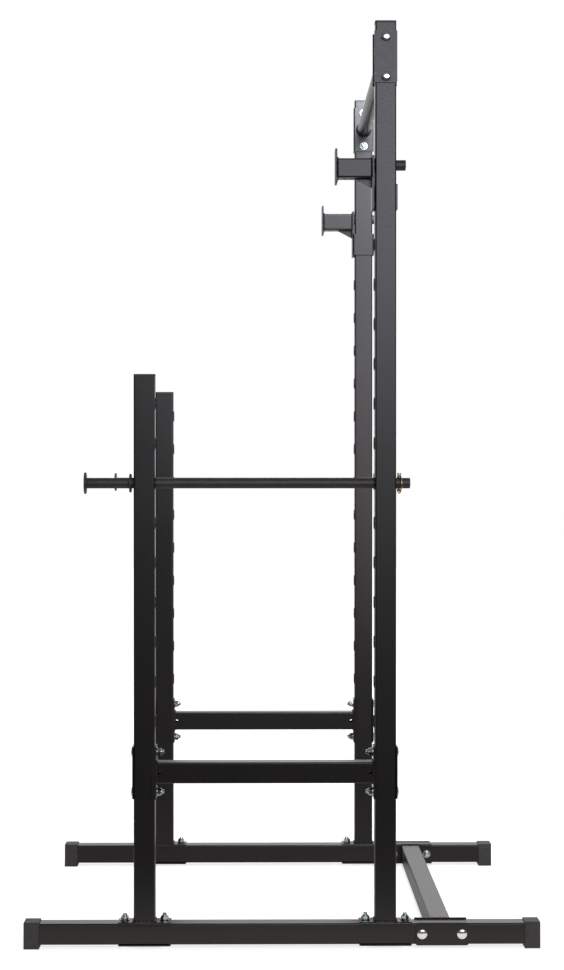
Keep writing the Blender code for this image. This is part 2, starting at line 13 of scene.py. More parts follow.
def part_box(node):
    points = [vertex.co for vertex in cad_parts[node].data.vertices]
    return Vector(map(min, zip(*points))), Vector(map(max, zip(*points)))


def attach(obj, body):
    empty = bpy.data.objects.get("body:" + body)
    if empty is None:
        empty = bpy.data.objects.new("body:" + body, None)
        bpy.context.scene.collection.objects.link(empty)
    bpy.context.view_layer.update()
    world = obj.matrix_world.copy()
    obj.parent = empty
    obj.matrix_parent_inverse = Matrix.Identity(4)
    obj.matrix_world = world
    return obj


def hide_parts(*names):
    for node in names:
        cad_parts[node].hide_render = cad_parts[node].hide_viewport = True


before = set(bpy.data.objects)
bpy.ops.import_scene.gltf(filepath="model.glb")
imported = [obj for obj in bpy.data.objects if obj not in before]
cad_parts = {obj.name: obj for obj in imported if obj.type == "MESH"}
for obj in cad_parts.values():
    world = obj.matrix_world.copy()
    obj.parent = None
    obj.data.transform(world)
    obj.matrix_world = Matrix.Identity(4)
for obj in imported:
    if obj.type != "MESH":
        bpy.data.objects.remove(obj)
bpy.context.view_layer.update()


def middle(node):
    low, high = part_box(node)
    return (low + high) / 2


AXIS_X = Vector((1, 0, 0))
AXIS_Y = Vector((0, 1, 0))
AXIS_Z = Vector((0, 0, 1))
SIDES = (("right", -1), ("left", 1))

# Places that the frame gives
SKID_LOW, SKID_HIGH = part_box("base_skid_left")
TUBE = SKID_HIGH.z - SKID_LOW.z
HALF_TUBE = TUBE / 2
SKID_Z = middle("base_skid_left").z
SIDE_Y = middle("base_skid_left").y
UPRIGHT_X = middle("tall_upright_left").x
FRONT_POST_X = middle("front_post_left").x
SIDE_BEAM_Z = middle("side_beam_left").z
CROSS_BEAM_X = middle("rear_cross_beam").x
PULL_UP_Z = middle("pull_up_bar").z
SAFETY_BAR_Z = middle("safety_bar_left").z
BAR_LOW, BAR_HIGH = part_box("safety_bar_left")
LYNCH_X = middle("lynch_pin_left").x

# Steel stock, the gap between pieces and the bevel of an edge
TUBE_WALL = 0.002
TUBE_CORNER = 0.004
SHEET = 0.003
GAP = 0.0003
EDGE = 0.0005

# Adjustment holes
HOLE_PITCH = 0.094
LOWEST_HOLE = -6
FRONT_TOP_HOLE = 2
HOOK_HOLE = 8
HOLE_RADIUS = 0.0133
RIM_RADIUS = 0.015
RIM_PROUD = 0.002
RIM_ROUNDING = 0.0006
HOOK_Z = SAFETY_BAR_Z + HOOK_HOLE * HOLE_PITCH

# Folded brackets, backing plates and bolts
PLATE_LENGTH = 0.124
PLATE_WIDTH = 0.054
FOOT_PLATE_CORNER = 0.007
FLANGE_REACH = 0.0065
FLANGE_SPLAY = 0.0007
FLANGE_CORNER = 0.0045
BEND_RADIUS = 0.004
BOLT_SPACING = 0.094
BOLT_RADIUS = 0.005
BOLT_HEAD_RADIUS = 0.012
BOLT_HEAD_HEIGHT = 0.0045
BOLT_HEAD_RIM = 0.001
BOLT_HEAD_ROUNDING = 0.0004
BOLT_DOME_STEP = 15
THREAD_PITCH = 0.0015
THREAD_DEPTH = 0.0006
WASHER_RADIUS = 0.011
WASHER_THICKNESS = 0.002
WASHER_ROUNDING = 0.0003
NUT_ACROSS_FLATS = 0.017
NUT_HEIGHT = 0.008
NUT_SIDES = 6
NUT_CHAMFER = 0.0012
NUT_COLLAR_RADIUS = 0.0074
NUT_COLLAR_HEIGHT = 0.0025
NUT_COLLAR_ROUNDING = 0.0014
BOLT_TIP = 0.0045
BOLT_GRIP = TUBE + 2 * SHEET + 4 * GAP
PLATE_SEAT = HALF_TUBE + GAP
HEAD_SEAT = PLATE_SEAT + SHEET + GAP
BOLT_SEED = 3
WASHER_SEED = 5
NUT_SEED = 8

# Weld beads: the sample is a share of a ripple, and the three after it are shares of the radius
BEAD_RADIUS = 0.0028
BEAD_OFFSET = 0.0005
BEAD_RIPPLE = 0.0046
BEAD_SAMPLE = 0.25
BEAD_WAVE = 0.17
BEAD_SWELL = 0.9
BEAD_THINNEST = 0.45
BEAD_NOISE = {"Scale": 130.0, "Detail": 1.0}

# Plastic ends
FOOT_LENGTH = 0.036
FOOT_WALL = 0.003
FOOT_END = 0.004
FOOT_ROUNDING = 0.003
FOOT_EDGE = 0.0016
CAP_FLANGE = 0.005
CAP_PLUG = 0.012
CAP_ROUNDING = 0.0016

# Pull-up bar and vent holes
PULL_UP_RADIUS = 0.019
PULL_UP_VENT_Y = -0.020
VENT_RADIUS = 0.0045
VENT_INSET = 0.007

# J-hooks: heights are measured from the pin's axis
PIN_RADIUS = 0.0125
PIN_BEHIND = 0.0235
PIN_CHAMFER = 0.001
HOOK_SHEET = 0.005
HOOK_WIDTH = 0.052
HOOK_PLATE_BACK = -(RIM_PROUD + GAP)
HOOK_PLATE_CORNER = 0.002
HOOK_TUBE_LENGTH = 0.0817
HOOK_TUBE_HEIGHT = 0.0455
HOOK_TUBE_DROP = 0.009
HOOK_PLATE_TOP = 0.021
HOOK_PLATE_BOTTOM = -0.1077
LIP_TOP = 0.0365
LIP_BOTTOM = -0.0445
LIP_CORNER = 0.003
STRAP_SHEET = 0.0042
STRAP_TOP = -0.044
STRAP_BOTTOM = -0.104
STRAP_TAB = 0.034
STRAP_BEND = 0.006
STRAP_BEAD_RADIUS = 0.0012
STRAP_BEAD_INSET = 0.002
GUSSET_SHEET = 0.004
GUSSET_LENGTH = 0.042
GUSSET_DROP = 0.023
GUSSET_BEAD_RADIUS = 0.0014
GUSSET_TIP_INSET = 0.004
GUSSET_FOOT_INSET = 0.003

# Safety bars and lynch pins: an edge is given by steps in from its radius and along from its end
BAR_RADIUS = 0.0125
BAR_COLLAR_STANDOFF = 0.006
BAR_COLLAR_THICKNESS = 0.005
BAR_COLLAR_RADIUS = 0.022
BAR_END_THICKNESS = 0.005
BAR_END_RADIUS = 0.0255
BAR_CHAMFER = 0.001
BAR_FILLET = 0.0015
LYNCH_RADIUS = 0.003
LYNCH_HOLE_RADIUS = 0.0036
LYNCH_TIP = -0.020
LYNCH_TIP_EDGE = ((0, 0.002), (0.0006, 0.0008), (0.0018, 0))
LYNCH_HEAD_BOTTOM = 0.013
LYNCH_HEAD_TOP = 0.0245
LYNCH_HEAD_RADIUS = 0.0047
LYNCH_HEAD_EDGE = ((0.0014, 0), (0.0005, 0.0004), (0, 0.0014))
LYNCH_HEAD_CHAMFER = 0.0006
LYNCH_GROOVE = 0.0006
LYNCH_GROOVE_RISE = 0.002
RING_HINGE_HEIGHT = 0.0195
RING_RADIUS = 0.0215
RING_WIRE_RADIUS = 0.0015
RING_HOLE_RADIUS = 0.0029
RING_TWIST = 12
RING_STEPS = 72
RING_WIRE_STEPS = 4

# Fineness of the shapes
ROUND_STEPS = 48
HOLE_STEPS = 32
SMALL_STEPS = 24
CORNER_STEPS = 6
FOOT_CORNER_STEPS = 4
INNER_BEND_STEPS = 3
BEAD_STEPS = 8
MERGE_DISTANCE = 0.00001
BEVEL_ANGLE = 50
SMOOTH_ANGLE = 32

# Picture and camera
PICTURE_WIDTH = 564
SENSOR_WIDTH = 36
FOCAL_PIXELS = 2098.2
CAMERA_PLACE = (-0.0536, -5.4915, 1.1141)
CAMERA_YAW = 0.616
CAMERA_PITCH = 0.237

# Finishes
WARM_SHEEN = (1.0, 0.88, 0.84, 1.0)
NOISE_LOW = 0.3
NOISE_HIGH = 0.7
GRAIN_DETAIL = 2.0

# Light: the backdrop's start and end are set by a direction's Y, and its top by the direction's Z
WHITE = (1.0, 1.0, 1.0)
AMBIENT = 0.21
AMBIENT_COLOUR = (1.0, 0.92, 0.89)
REFLECTED_BACKDROP = 1.04
REFLECTED_FRONT = 0.13
BACKDROP_START = 0.20
BACKDROP_FULL = 0.60
BACKDROP_TOP = 0.35
BACKDROP_FADE = 0.25

# Floor
FLOOR_HALF = 20.0
FLOOR_DARK = (0.12, 0.115, 0.11)
FLOOR_PALE = (0.86, 0.86, 0.86)
FLOOR_GLOW = 0.76
FLOOR_GLOW_NEAR = 1.2
FLOOR_GLOW_FAR = 4.0
FLOOR_REFLECTED_INSIDE = 0.42
FLOOR_REFLECTED_FRONT = 1.05
FLOOR_BOUNCE = 0.40
SWEEP_FRONT = 0.75
SWEEP_FADE = 0.5


class Nodes:
    """Adds nodes to a tree and links them: an input is another node's output, or a plain value."""

    def __init__(self, tree):
        self.tree = tree

    def add(self, kind, inputs=(), **settings):
        node = self.tree.nodes.new(kind)
        for name, value in settings.items():
            setattr(node, name, value)
        for key, value in dict(inputs).items():
            if isinstance(value, bpy.types.NodeSocket):
                self.tree.links.new(value, node.inputs[key])
            else:
                node.inputs[key].default_value = value
        return node

    def maths(self, operation, first, second=0.0):
        return self.add("ShaderNodeMath", {0: first, 1: second}, operation=operation).outputs[0]

    def ranged(self, value, start, end, first, last):
        """The first number up to start, the last one from end on, and evenly between them."""
        limits = {0: value, 1: start, 2: end, 3: first, 4: last}
        return self.add("ShaderNodeMapRange", limits).outputs[0]


class GrowthTree(Nodes):
    """A geometry node tree with named inputs, ending in real geometry with a material."""

    def __init__(self, name, inputs):
        super().__init__(bpy.data.node_groups.new(name, "GeometryNodeTree"))
        sockets = (("Geometry", "NodeSocketGeometry"), *inputs, ("Material", "NodeSocketMaterial"))
        for label, kind in sockets:
            self.tree.interface.new_socket(label, in_out="INPUT", socket_type=kind)
        self.tree.interface.new_socket("Geometry", in_out="OUTPUT", socket_type="NodeSocketGeometry")
        self.given = self.tree.nodes.new("NodeGroupInput").outputs

    def finish(self, geometry):
        real = self.add("GeometryNodeRealizeInstances", {"Geometry": geometry})
        inputs = {"Geometry": real.outputs[0], "Material": self.given["Material"]}
        finished = self.add("GeometryNodeSetMaterial", inputs)
        self.add("NodeGroupOutput", {0: finished.outputs[0]})
        return self.tree


def spaced_copies_tree():
    """Copies of a shape at equal steps along a line."""
    tree = GrowthTree(
        "spaced copies",
        (("First", "NodeSocketVector"), ("Step", "NodeSocketVector"), ("Count", "NodeSocketInt")),
    )
    line_inputs = {
        "Count": tree.given["Count"],
        "Start Location": tree.given["First"],
        "Offset": tree.given["Step"],
    }
    line = tree.add("GeometryNodeMeshLine", line_inputs)
    copies = tree.add(
        "GeometryNodeInstanceOnPoints", {"Points": line.outputs[0], "Instance": tree.given["Geometry"]}
    )
    return tree.finish(copies.outputs[0])


def fasteners_tree():
    """A fastener on each point, along the point's direction and turned at random about it."""
    tree = GrowthTree("fasteners", (("Fastener", "NodeSocketObject"), ("Seed", "NodeSocketInt")))
    shape = tree.add("GeometryNodeObjectInfo", {"Object": tree.given["Fastener"]})
    direction = tree.add(
        "GeometryNodeInputNamedAttribute", {"Name": "direction"}, data_type="FLOAT_VECTOR"
    )
    aimed = tree.add("FunctionNodeAlignRotationToVector", {"Vector": direction.outputs[0]}, axis="Z")
    angle = tree.add("FunctionNodeRandomValue", {2: 0.0, 3: math.tau, "Seed": tree.given["Seed"]})
    spin = tree.add("FunctionNodeAxisAngleToRotation", {"Axis": AXIS_Z, "Angle": angle.outputs[1]})
    spun = tree.add(
        "FunctionNodeRotateRotation",
        {"Rotation": aimed.outputs[0], "Rotate By": spin.outputs[0]},
        rotation_space="LOCAL",
    )
    copies = tree.add(
        "GeometryNodeInstanceOnPoints",
        {
            "Points": tree.given["Geometry"],
            "Instance": shape.outputs["Geometry"],
            "Rotation": spun.outputs[0],
        },
    )
    return tree.finish(copies.outputs[0])


def weld_bead_tree():
    """A rippled bead of weld along a path of edges."""
    tree = GrowthTree("weld bead", (("Bead Radius", "NodeSocketFloat"), ("Ripple", "NodeSocketFloat")))
    path = tree.add("GeometryNodeMeshToCurve", {"Mesh": tree.given["Geometry"]})
    spacing = tree.maths("MULTIPLY", tree.given["Ripple"], BEAD_SAMPLE)
    fine = tree.add(
        "GeometryNodeResampleCurve", {"Curve": path.outputs[0], "Length": spacing}, mode="LENGTH"
    )
    travelled = tree.add("GeometryNodeSplineParameter").outputs["Length"]
    phase = tree.maths("MULTIPLY", tree.maths("DIVIDE", travelled, tree.given["Ripple"]), math.tau)
    wave = tree.maths("MULTIPLY", tree.maths("SINE", phase), BEAD_WAVE)
    uneven = tree.add("ShaderNodeTexNoise", BEAD_NOISE).outputs[0]
    swell = tree.maths("MULTIPLY_ADD", uneven, BEAD_SWELL)
    swell.node.inputs[2].default_value = BEAD_THINNEST
    profile = tree.add(
        "GeometryNodeCurvePrimitiveCircle",
        {"Resolution": BEAD_STEPS, "Radius": tree.given["Bead Radius"]},
    )
    bead = tree.add(
        "GeometryNodeCurveToMesh",
        {
            "Curve": fine.outputs[0],
            "Profile Curve": profile.outputs[0],
            "Scale": tree.maths("ADD", wave, swell),
            "Fill Caps": True,
        },
    )
    return tree.finish(bead.outputs[0])


SPACED_COPIES = spaced_copies_tree()
FASTENERS = fasteners_tree()
WELD_BEAD = weld_bead_tree()


def linked(name, data):
    obj = bpy.data.objects.new(name, data)
    bpy.context.scene.collection.objects.link(obj)
    return obj


def temporary(data):
    return linked("temporary", data)


def applied(obj):
    """The object's mesh with its modifiers applied. The object itself is removed."""
    bpy.context.view_layer.update()
    depsgraph = bpy.context.evaluated_depsgraph_get()
    mesh = bpy.data.meshes.new_from_object(obj.evaluated_get(depsgraph))
    bpy.data.objects.remove(obj)
    return mesh


def evaluated_mesh(obj, turn_outwards=True):
    """The applied mesh with its doubles merged, and its faces turned outwards if that is asked."""
    mesh = applied(obj)
    shape = bmesh.new()
    shape.from_mesh(mesh)
    bmesh.ops.remove_doubles(shape, verts=shape.verts, dist=MERGE_DISTANCE)
    if turn_outwards:
        bmesh.ops.recalc_face_normals(shape, faces=shape.faces)
    shape.to_mesh(mesh)
    shape.free()
    return mesh


def grown(tree, mesh, values):
    """The mesh that a node tree makes from another, with its named inputs set."""
    obj = temporary(mesh)
    modifier = obj.modifiers.new("growth", "NODES")
    modifier.node_group = tree
    for item in tree.interface.items_tree:
        if item.item_type == "SOCKET" and item.in_out == "INPUT" and item.name in values:
            modifier[item.identifier] = values[item.name]
    return evaluated_mesh(obj)


def combined(mesh, operation, *operands):
    """A mesh cut by others, or the part that it shares with another."""
    base = temporary(mesh)
    tools = [temporary(operand) for operand in operands]
    for tool in tools:
        modifier = base.modifiers.new(operation, "BOOLEAN")
        modifier.operation = operation
        modifier.solver = "EXACT"
        modifier.object = tool
    result = evaluated_mesh(base, turn_outwards=False)
    for tool in tools:
        bpy.data.objects.remove(tool)
    return result


def bevelled(mesh, width, segments):
    obj = temporary(mesh)
    bevel = obj.modifiers.new("edges", "BEVEL")
    bevel.width = width
    bevel.segments = segments
    bevel.limit_method = "ANGLE"
    bevel.angle_limit = math.radians(BEVEL_ANGLE)
    bevel.use_clamp_overlap = True
    return evaluated_mesh(obj)


def joined(*meshes):
    shape = bmesh.new()
    for mesh in meshes:
        shape.from_mesh(mesh)
    result = bpy.data.meshes.new("joined")
    shape.to_mesh(result)
    shape.free()
    return result


def placed(mesh, matrix):
    """A copy of a mesh at a place. A mirrored copy keeps its faces outwards."""
    copy = mesh.copy()
    copy.transform(matrix)
    if matrix.determinant() < 0:
        copy.flip_normals()
    return copy


def shifted(mesh, x, y, z):
    return placed(mesh, Matrix.Translation((x, y, z)))


def frame_matrix(x_axis, y_axis, z_axis, origin):
    """The matrix that carries local X, Y and Z onto three directions at a point."""
    columns = [Vector(axis).to_4d() for axis in (x_axis, y_axis, z_axis)]
    for column in columns:
        column.w = 0
    return Matrix((*columns, Vector(origin).to_4d())).transposed()


def along_axis(axis, origin=(0, 0, 0)):
    """The matrix that carries local Z onto an axis."""
    return Matrix.Translation(origin) @ AXIS_Z.rotation_difference(axis).to_matrix().to_4x4()


def block(low, high):
    low, high = Vector(low), Vector(high)
    shape = bmesh.new()
    bmesh.ops.create_cube(shape, size=1)
    bmesh.ops.scale(shape, vec=high - low, verts=shape.verts)
    bmesh.ops.translate(shape, vec=(low + high) / 2, verts=shape.verts)
    mesh = bpy.data.meshes.new("block")
    shape.to_mesh(mesh)
    shape.free()
    return mesh


def arc(centre, radius, start, end, steps):
    """Points on an arc, with the angles in degrees."""
    angles = [math.radians(start + (end - start) * i / steps) for i in range(steps + 1)]
    return [(centre[0] + radius * math.cos(a), centre[1] + radius * math.sin(a)) for a in angles]


def circle(radius, steps):
    return arc((0, 0), radius, 0, 360, steps)[:-1]


def rounded_rectangle(width, height, radius, steps=CORNER_STEPS):
    x = width / 2 - radius
    y = height / 2 - radius
    points = []
    for corner_x, corner_y, angle in ((x, y, 0), (-x, y, 90), (-x, -y, 180), (x, -y, 270)):
        points += arc((corner_x, corner_y), radius, angle, angle + 90, steps)
    return points


def path_mesh(points, closed):
    """A mesh of points joined in a row by edges."""
    mesh = bpy.data.meshes.new("path")
    count = len(points)
    edges = [(i, (i + 1) % count) for i in range(count if closed else count - 1)]
    mesh.from_pydata(points, edges, [])
    return mesh


def add_loop(curve, points):
    """Adds a closed line through some points to a curve."""
    spline = curve.splines.new("POLY")
    spline.points.add(len(points) - 1)
    for item, point in zip(spline.points, points):
        item.co = (*point, 1)
    spline.use_cyclic_u = True


def extruded(outlines, thickness):
    """A flat outline with its holes, given a thickness along Z about its middle."""
    curve = bpy.data.curves.new("outline", "CURVE")
    curve.dimensions = "2D"
    curve.fill_mode = "BOTH"
    curve.extrude = thickness / 2
    for points in outlines:
        add_loop(curve, [(x, y, 0) for x, y in points])
    return evaluated_mesh(temporary(curve))


def turned(profile, steps, closed=False):
    """A solid of revolution about Z, from a profile of (radius, height) that runs down from the top."""
    obj = temporary(path_mesh([(radius, 0, height) for radius, height in profile], closed))
    screw = obj.modifiers.new("turn", "SCREW")
    screw.steps = steps
    screw.render_steps = steps
    screw.use_merge_vertices = True
    screw.merge_threshold = MERGE_DISTANCE
    return evaluated_mesh(obj)


def drill(radius, reach):
    """A round cutter along local Z, reaching as far both ways."""
    return turned([(0, reach), (radius, reach), (radius, -reach), (0, -reach)], SMALL_STEPS)


def vented(tube, places, axis):
    """A tube along local Z with vent holes drilled through it at some places."""
    holes = [placed(drill(VENT_RADIUS, TUBE), along_axis(axis, place * AXIS_Z)) for place in places]
    return combined(tube, "DIFFERENCE", *holes)


def square_tube(length, width=TUBE, height=TUBE):
    """Rolled tube along Z, square unless it is given two sides."""
    outer = rounded_rectangle(width, height, TUBE_CORNER)
    inner = rounded_rectangle(width - 2 * TUBE_WALL, height - 2 * TUBE_WALL, TUBE_CORNER - TUBE_WALL)
    return extruded([outer, inner], length)


def weld(points, closed=True, radius=BEAD_RADIUS):
    """A bead along a path of points."""
    return grown(WELD_BEAD, path_mesh(points, closed), {"Bead Radius": radius, "Ripple": BEAD_RIPPLE})


def weld_around(width, height, matrix):
    """A bead round the end of a rounded tube, in the tube's own XY plane."""
    corner = TUBE_CORNER + BEAD_OFFSET
    outline = rounded_rectangle(width + 2 * BEAD_OFFSET, height + 2 * BEAD_OFFSET, corner)
    return placed(weld([(x, y, BEAD_OFFSET) for x, y in outline]), matrix)


def bracket(seat, along, out):
    """The folded bracket at a joint, with rounded flange ends that splay a little.

    seat is the middle of the tube's face, along the bracket's length and out the face's normal.
    """
    inside = HALF_TUBE + GAP
    outside = inside + SHEET
    bend = outside - BEND_RADIUS
    bend_height = SHEET - BEND_RADIUS
    inner_bend = BEND_RADIUS - SHEET
    outline = [(-inside, -inner_bend), (-inside - FLANGE_SPLAY, -FLANGE_REACH)]
    outline.append((-outside - FLANGE_SPLAY, -FLANGE_REACH))
    outline += arc((-bend, bend_height), BEND_RADIUS, 180, 90, CORNER_STEPS)
    outline += arc((bend, bend_height), BEND_RADIUS, 90, 0, CORNER_STEPS)
    outline.append((outside + FLANGE_SPLAY, -FLANGE_REACH))
    outline += [(inside + FLANGE_SPLAY, -FLANGE_REACH), (inside, -inner_bend)]
    outline += [(inside - inner_bend, 0), (inner_bend - inside, 0)]
    channel = extruded([outline], PLATE_LENGTH)
    low = -FLANGE_REACH
    side = PLATE_LENGTH / 2
    trim = arc((side - FLANGE_CORNER, low + FLANGE_CORNER), FLANGE_CORNER, 0, -90, CORNER_STEPS)
    trim += arc((FLANGE_CORNER - side, low + FLANGE_CORNER), FLANGE_CORNER, -90, -180, CORNER_STEPS)
    trim += [(-side, 2 * SHEET), (side, 2 * SHEET)]
    prism = extruded([trim], 2 * TUBE)
    turn = frame_matrix(AXIS_Z, AXIS_Y, -AXIS_X, (0, 0, 0))
    rounded = bevelled(combined(channel, "INTERSECT", placed(prism, turn)), EDGE, segments=1)
    across = out.cross(along)
    return placed(rounded, frame_matrix(across, out, along, Vector(seat) + GAP * out))


def sleeve():
    """The lining of an adjustment hole, along local Z, with its proud rim at the low end."""
    low = -HALF_TUBE - RIM_PROUD
    high = HALF_TUBE - TUBE_WALL
    profile = [
        (HOLE_RADIUS, high),
        (RIM_RADIUS, high),
        (RIM_RADIUS, low + RIM_ROUNDING),
        (RIM_RADIUS - RIM_ROUNDING / 3, low + RIM_ROUNDING / 3),
        (RIM_RADIUS - RIM_ROUNDING, low),
        (HOLE_RADIUS + RIM_ROUNDING / 2, low),
        (HOLE_RADIUS, low + RIM_ROUNDING / 2),
    ]
    return turned(profile, HOLE_STEPS, closed=True)


def sleeve_cutter():
    """What a lined hole takes out of a post: the sleeve's outside, then its bore through the far wall."""
    far = HALF_TUBE - TUBE_WALL
    profile = [
        (0, HALF_TUBE + 2 * EDGE),
        (HOLE_RADIUS + 3 * EDGE, HALF_TUBE + 2 * EDGE),
        (HOLE_RADIUS, HALF_TUBE - EDGE),
        (HOLE_RADIUS, far - EDGE),
        (RIM_RADIUS, far - EDGE),
        (RIM_RADIUS, -TUBE),
        (0, -TUBE),
    ]
    return turned(profile, HOLE_STEPS)


def post(top, holes, rim_side):
    """An upright with its sleeved holes, its welded base bracket and the bead round its foot."""
    foot = SKID_HIGH.z + GAP + SHEET
    tube = shifted(square_tube(top - foot), 0, 0, (top + foot) / 2)
    lowest = SAFETY_BAR_Z + LOWEST_HOLE * HOLE_PITCH
    row = {"First": (0, 0, lowest), "Step": (0, 0, HOLE_PITCH), "Count": holes}
    towards = along_axis(-rim_side * AXIS_X)
    cutters = grown(SPACED_COPIES, placed(sleeve_cutter(), towards), row)
    sleeves = grown(SPACED_COPIES, placed(sleeve(), towards), row)
    body = combined(tube, "DIFFERENCE", cutters)
    base = bracket((0, 0, SKID_HIGH.z), AXIS_X, AXIS_Z)
    bead = weld_around(TUBE, TUBE, Matrix.Translation((0, 0, foot)))
    return joined(body, sleeves, base, bead)


def beam(tube, half_span, along, across, bead):
    """A beam between two faces: a tube with a bracket welded on each end."""
    parts = [placed(tube, along_axis(along))]
    for side in (-1, 1):
        out = -side * along
        parts.append(bracket(side * half_span * along, across, out))
        foot = side * (half_span - GAP - SHEET) * along
        parts.append(placed(bead, along_axis(out, foot)))
    return joined(*parts)


def square_beam(half_span, along, across):
    """A square beam, with its vent holes beside the brackets."""
    length = 2 * (half_span - GAP - SHEET)
    vent = length / 2 - VENT_INSET
    tube = vented(square_tube(length), (-vent, vent), AXIS_Y)
    return beam(tube, half_span, along, across, weld_around(TUBE, TUBE, Matrix.Identity(4)))


def foot_cap():
    """The moulded foot over a skid's +X end. Its origin is on the floor below the tube's end."""
    width = TUBE + 2 * GAP + 2 * FOOT_WALL
    height = SKID_HIGH.z + GAP + FOOT_WALL
    outline = rounded_rectangle(height, width, FOOT_ROUNDING, FOOT_CORNER_STEPS)
    shell = bevelled(extruded([outline], FOOT_LENGTH), FOOT_EDGE, segments=3)
    place = frame_matrix(-AXIS_Z, AXIS_Y, AXIS_X, (FOOT_END - FOOT_LENGTH / 2, 0, height / 2))
    inside = HALF_TUBE + GAP
    pocket = block((-2 * FOOT_LENGTH, -inside, SKID_LOW.z - GAP), (GAP, inside, SKID_HIGH.z + GAP))
    return combined(placed(shell, place), "DIFFERENCE", pocket)


def post_cap():
    """The plug in a post's top. Its origin is at the tube's top."""
    flange = extruded([rounded_rectangle(TUBE, TUBE, TUBE_CORNER)], CAP_FLANGE - GAP)
    flange = bevelled(shifted(flange, 0, 0, (CAP_FLANGE + GAP) / 2), CAP_ROUNDING, segments=4)
    width = TUBE - 2 * TUBE_WALL - 2 * GAP
    plug = extruded([rounded_rectangle(width, width, TUBE_CORNER - TUBE_WALL)], CAP_PLUG)
    return joined(flange, shifted(plug, 0, 0, GAP - CAP_PLUG / 2))


def backing_plate(corner):
    """The plate under each pair of bolt heads, flat on XY with its length along Y."""
    edge = rounded_rectangle(PLATE_WIDTH, PLATE_LENGTH, corner)
    return bevelled(shifted(extruded([edge], SHEET), 0, 0, SHEET / 2), EDGE, segments=2)


def bolt():
    """A round-headed bolt along Z with its head's underside at zero and its thread past the nut."""
    tip = BOLT_GRIP + WASHER_THICKNESS + NUT_HEIGHT + NUT_COLLAR_HEIGHT + BOLT_TIP
    profile = [(0, tip), (BOLT_RADIUS - THREAD_DEPTH, tip)]
    height = tip - THREAD_DEPTH
    while height > BOLT_GRIP:
        profile += [(BOLT_RADIUS, height), (BOLT_RADIUS - THREAD_DEPTH, height - THREAD_PITCH / 2)]
        height -= THREAD_PITCH
    profile += [(BOLT_RADIUS, BOLT_GRIP - THREAD_PITCH), (BOLT_RADIUS, 0)]
    profile += [(BOLT_HEAD_RADIUS - BOLT_HEAD_ROUNDING, 0), (BOLT_HEAD_RADIUS, -BOLT_HEAD_ROUNDING)]
    rise = BOLT_HEAD_HEIGHT - BOLT_HEAD_RIM
    for step in range(BOLT_DOME_STEP, 90, BOLT_DOME_STEP):
        angle = math.radians(step)
        profile.append((BOLT_HEAD_RADIUS * math.cos(angle), -BOLT_HEAD_RIM - rise * math.sin(angle)))
    profile.append((0, -BOLT_HEAD_HEIGHT))
    return turned(profile, SMALL_STEPS)


def washer():
    thickness = WASHER_THICKNESS
    rounding = WASHER_ROUNDING
    profile = [
        (BOLT_RADIUS, thickness),
        (WASHER_RADIUS - rounding, thickness),
        (WASHER_RADIUS, thickness - rounding),
        (WASHER_RADIUS, rounding),
        (WASHER_RADIUS - rounding, 0),
        (BOLT_RADIUS, 0),
    ]
    return turned(profile, SMALL_STEPS, closed=True)


def nut():
    """A hexagon lock nut with chamfered faces and the rounded collar that holds its nylon ring."""
    across_corners = NUT_ACROSS_FLATS / math.cos(math.radians(180 / NUT_SIDES))
    prism = shifted(extruded([circle(across_corners / 2, NUT_SIDES)], NUT_HEIGHT), 0, 0, NUT_HEIGHT / 2)
    inner = NUT_ACROSS_FLATS / 2
    outer = across_corners / 2 + EDGE
    profile = [
        (0, NUT_HEIGHT + EDGE),
        (inner - NUT_CHAMFER, NUT_HEIGHT + EDGE),
        (outer, NUT_HEIGHT - NUT_CHAMFER),
        (outer, NUT_CHAMFER),
        (inner - NUT_CHAMFER, -EDGE),
        (0, -EDGE),
    ]
    top = NUT_HEIGHT + NUT_COLLAR_HEIGHT
    rounding = NUT_COLLAR_ROUNDING
    collar = [
        (BOLT_RADIUS, top - rounding / 2),
        (BOLT_RADIUS + rounding / 3, top),
        (NUT_COLLAR_RADIUS - rounding, top),
        (NUT_COLLAR_RADIUS - rounding / 3, top - rounding / 3),
        (NUT_COLLAR_RADIUS, top - rounding),
        (NUT_COLLAR_RADIUS, NUT_HEIGHT - EDGE),
        (BOLT_RADIUS, NUT_HEIGHT - EDGE),
    ]
    hexagon = combined(prism, "INTERSECT", turned(profile, SMALL_STEPS))
    return joined(hexagon, turned(collar, SMALL_STEPS, closed=True))


def hook_strap(plate_front):
    """The folded strap from the hook's plate, along the upright's side and round behind it."""
    side_inner = HALF_TUBE + 2 * GAP
    side_outer = side_inner + STRAP_SHEET
    front = plate_front + (HOOK_SHEET - STRAP_SHEET) / 2
    back = TUBE + GAP + STRAP_SHEET
    tab_end = side_outer - STRAP_TAB
    corner = side_outer - STRAP_BEND
    inner_bend = STRAP_BEND - STRAP_SHEET
    outline = [(front, 0)]
    outline += arc((front + STRAP_BEND, corner), STRAP_BEND, 180, 90, CORNER_STEPS)
    outline += arc((back - STRAP_BEND, corner), STRAP_BEND, 90, 0, CORNER_STEPS)
    outline += [(back, tab_end), (back - STRAP_SHEET, tab_end)]
    outline += arc((back - STRAP_BEND, side_inner - inner_bend), inner_bend, 0, 90, INNER_BEND_STEPS)
    outline += arc((front + STRAP_BEND, side_inner - inner_bend), inner_bend, 90, 180, INNER_BEND_STEPS)
    outline += [(front + STRAP_SHEET, 0)]
    strap = extruded([outline], STRAP_TOP - STRAP_BOTTOM)
    return bevelled(shifted(strap, 0, 0, (STRAP_TOP + STRAP_BOTTOM) / 2), EDGE, segments=2)


def hook_plate(front, back, bottom, top, corner):
    """An upright plate of the hook, with rounded corners."""
    outline = rounded_rectangle(HOOK_WIDTH, top - bottom, corner)
    plate = extruded([outline], back - front)
    place = frame_matrix(AXIS_Y, AXIS_Z, AXIS_X, ((front + back) / 2, 0, (top + bottom) / 2))
    return placed(bevelled(plate, EDGE, segments=2), place)


